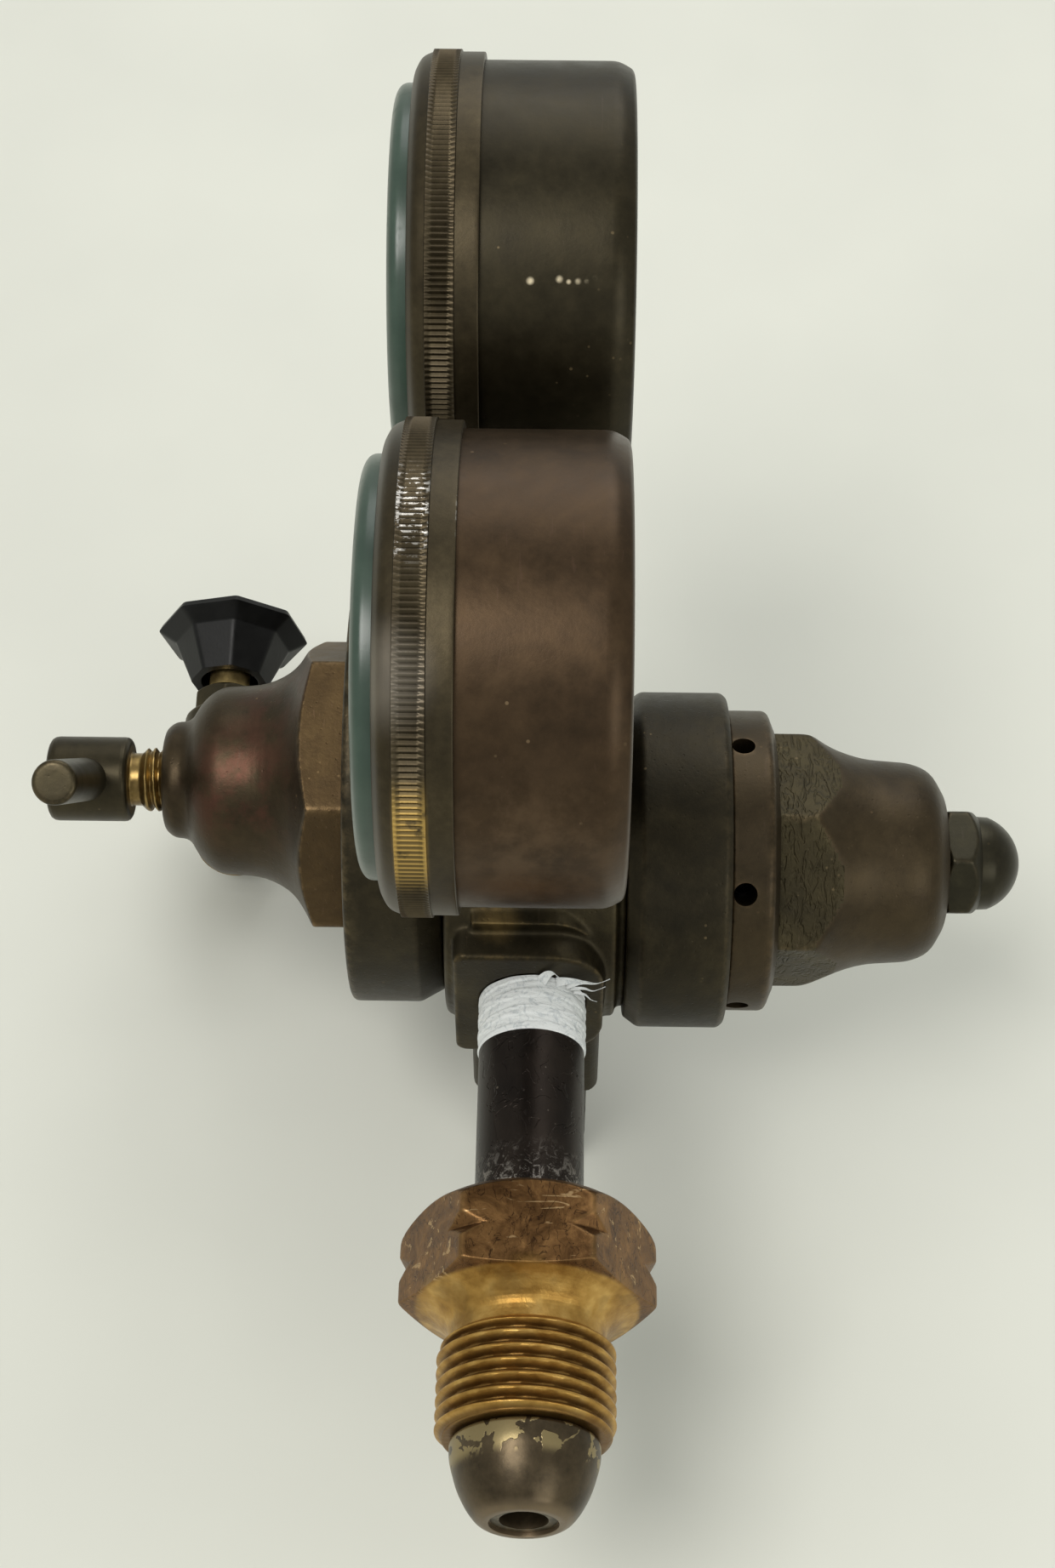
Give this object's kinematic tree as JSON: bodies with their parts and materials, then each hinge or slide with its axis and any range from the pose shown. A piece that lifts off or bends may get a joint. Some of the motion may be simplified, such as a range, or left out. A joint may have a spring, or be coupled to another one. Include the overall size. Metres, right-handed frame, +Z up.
{
  "type": "cylinder gas regulator",
  "caption": "Two-stage cylinder gas regulator with pressure gauges, T-handle adjusting screw, outlet needle valve and bull-nose inlet nut.",
  "frame": {"origin": "on the inlet axis at the middle of the inlet nut's thread", "axes": "+X out of the inlet nose, -Y towards the gauge faces and T-handle, +Z up with the gauges on top"},
  "size_m": [0.1622, 0.1387, 0.1609],
  "materials": {
    "dark_bronze": "oxidised, satin",
    "handle_bronze": "oxidised, satin",
    "stem_dark": "blackened, semi-gloss",
    "nut_brass": "worn brass, scratched",
    "worked_brass": "machined",
    "spring_steel": "drawn wire",
    "diaphragm_rubber": "matte",
    "ptfe_tape": "matte wrapped film",
    "knob_plastic": "satin moulded",
    "gauge_bronze": "oxidised, satin",
    "gauge_lens": "tinted, glossy",
    "dial_enamel": "satin",
    "pointer_black": "satin",
    "movement_brass": "machined"
  },
  "bodies": {
    "regulator": {"body": "dark_bronze", "front_ring": "dark_bronze", "front_bonnet": "dark_bronze", "front_diaphragm": "diaphragm_rubber", "front_seat": "worked_brass", "front_poppet_spring": "spring_steel", "front_spring": "spring_steel", "rear_ring": "dark_bronze", "rear_bonnet": "dark_bronze", "rear_diaphragm": "diaphragm_rubber", "rear_seat": "worked_brass", "rear_poppet_spring": "spring_steel", "rear_spring": "spring_steel", "rear_spring_button": "worked_brass", "rear_adjusting_screw": "worked_brass", "acorn_cap": "dark_bronze", "inlet_nipple": "stem_dark", "nose_insert": "worked_brass", "thread_tape": "ptfe_tape", "relief_body": "dark_bronze", "relief_cap": "dark_bronze", "relief_spring": "spring_steel", "outlet_elbow": "dark_bronze", "valve_body": "dark_bronze", "valve_gland": "worked_brass", "outlet_nipple": "worked_brass", "gauge_movement_frames": "movement_brass", "inlet_gauge_case": "gauge_bronze", "inlet_gauge_bezel": "gauge_bronze", "inlet_gauge_lens": "gauge_lens", "inlet_gauge_dial": "dial_enamel", "inlet_gauge_socket": "gauge_bronze", "inlet_gauge_bourdon_tube": "movement_brass", "delivery_gauge_case": "gauge_bronze", "delivery_gauge_bezel": "gauge_bronze", "delivery_gauge_lens": "gauge_lens", "delivery_gauge_dial": "dial_enamel", "delivery_gauge_socket": "gauge_bronze", "delivery_gauge_bourdon_tube": "movement_brass"},
    "front_spring_button": {"front_spring_button": "worked_brass"},
    "adjusting_screw": {"adjusting_screw": "handle_bronze", "handle_bar": "handle_bronze"},
    "front_valve": {"front_diaphragm_plate": "worked_brass", "front_poppet": "worked_brass"},
    "rear_valve": {"rear_diaphragm_plate": "worked_brass", "rear_poppet": "worked_brass"},
    "relief_valve": {"relief_disc": "worked_brass"},
    "inlet_nut": {"inlet_nut": "nut_brass"},
    "valve_needle": {"valve_needle": "worked_brass"},
    "valve_spindle": {"valve_stem": "worked_brass", "valve_knob": "knob_plastic", "knob_nut": "worked_brass"},
    "inlet_gauge_hand": {"inlet_gauge_pinion_arbor": "movement_brass", "inlet_gauge_pointer": "pointer_black"},
    "inlet_gauge_sector": {"inlet_gauge_sector_gear": "movement_brass"},
    "inlet_gauge_link": {"inlet_gauge_link": "movement_brass"},
    "delivery_gauge_hand": {"delivery_gauge_pinion_arbor": "movement_brass", "delivery_gauge_pointer": "pointer_black"},
    "delivery_gauge_sector": {"delivery_gauge_sector_gear": "movement_brass"},
    "delivery_gauge_link": {"delivery_gauge_link": "movement_brass"}
  },
  "joints": [
    {"name": "adjust_slide", "type": "slide", "parent": "regulator", "child": "front_spring_button", "axis": [0, 1, 0], "range_m": [-0.0016, 0.00446], "deforming": ["front_spring"]},
    {"name": "adjust_turn", "type": "hinge", "parent": "front_spring_button", "child": "adjusting_screw", "pos_m": [-0.0934, -0.05, 0], "axis": [0, 1, 0], "range_deg": [-450, 1260]},
    {"name": "front_valve_slide", "type": "slide", "parent": "regulator", "child": "front_valve", "axis": [0, 1, 0], "range_m": [0, 0.0008], "stiffness_N_per_m": 400, "springref_m": -0.001, "deforming": ["front_diaphragm", "front_poppet_spring"]},
    {"name": "rear_valve_slide", "type": "slide", "parent": "regulator", "child": "rear_valve", "axis": [0, -1, 0], "range_m": [0, 0.0008], "stiffness_N_per_m": 400, "springref_m": -0.001, "deforming": ["rear_diaphragm", "rear_poppet_spring"]},
    {"name": "relief_lift", "type": "slide", "parent": "regulator", "child": "relief_valve", "axis": [0, 0, -1], "range_m": [0, 0.0015], "stiffness_N_per_m": 400, "springref_m": -0.002, "deforming": ["relief_spring"]},
    {"name": "inlet_nut_turn", "type": "hinge", "parent": "regulator", "child": "inlet_nut", "pos_m": [0, 0, 0], "axis": [1, 0, 0], "continuous": true},
    {"name": "needle_slide", "type": "slide", "parent": "regulator", "child": "valve_needle", "axis": [-0.9901, 0, 0.14], "range_m": [0, 0.002]},
    {"name": "knob_turn", "type": "hinge", "parent": "valve_needle", "child": "valve_spindle", "pos_m": [-0.114, -0.0495, -0.0255], "axis": [-0.9901, 0, 0.14], "range_deg": [0, 715]},
    {"name": "inlet_gauge_pointer_turn", "type": "hinge", "parent": "regulator", "child": "inlet_gauge_hand", "pos_m": [-0.05475, 0, 0.0759], "axis": [0, 1, 0], "range_deg": [0, 270], "deforming": ["inlet_gauge_bourdon_tube"]},
    {"name": "inlet_gauge_sector_turn", "type": "hinge", "parent": "regulator", "child": "inlet_gauge_sector", "pos_m": [-0.05935, 0, 0.06646], "axis": [0, 1, 0], "range_deg": [-45, 0]},
    {"name": "inlet_gauge_link_turn", "type": "hinge", "parent": "inlet_gauge_sector", "child": "inlet_gauge_link", "pos_m": [-0.05518, 0, 0.06215], "axis": [0, 1, 0], "range_deg": [0, 45]},
    {"name": "delivery_gauge_pointer_turn", "type": "hinge", "parent": "regulator", "child": "delivery_gauge_hand", "pos_m": [-0.11815, 0.0009, 0.0753], "axis": [0, 1, 0], "range_deg": [0, 270], "deforming": ["delivery_gauge_bourdon_tube"]},
    {"name": "delivery_gauge_sector_turn", "type": "hinge", "parent": "regulator", "child": "delivery_gauge_sector", "pos_m": [-0.11367, 0.0009, 0.0658], "axis": [0, 1, 0], "range_deg": [-45, 0]},
    {"name": "delivery_gauge_link_turn", "type": "hinge", "parent": "delivery_gauge_sector", "child": "delivery_gauge_link", "pos_m": [-0.10769, 0.0009, 0.06635], "axis": [0, 1, 0], "range_deg": [0, 45]}
  ],
  "couplings": [
    {"joint": "adjust_slide", "follows": "adjust_turn", "m_per_rad": 0.00020213},
    {"joint": "needle_slide", "follows": "knob_turn", "m_per_rad": 0.00015915},
    {"joint": "inlet_gauge_sector_turn", "follows": "inlet_gauge_pointer_turn", "ratio": -0.16667},
    {"joint": "inlet_gauge_link_turn", "follows": "inlet_gauge_pointer_turn", "ratio": 0.16667},
    {"joint": "delivery_gauge_sector_turn", "follows": "delivery_gauge_pointer_turn", "ratio": -0.16667},
    {"joint": "delivery_gauge_link_turn", "follows": "delivery_gauge_pointer_turn", "ratio": 0.16667}
  ]
}
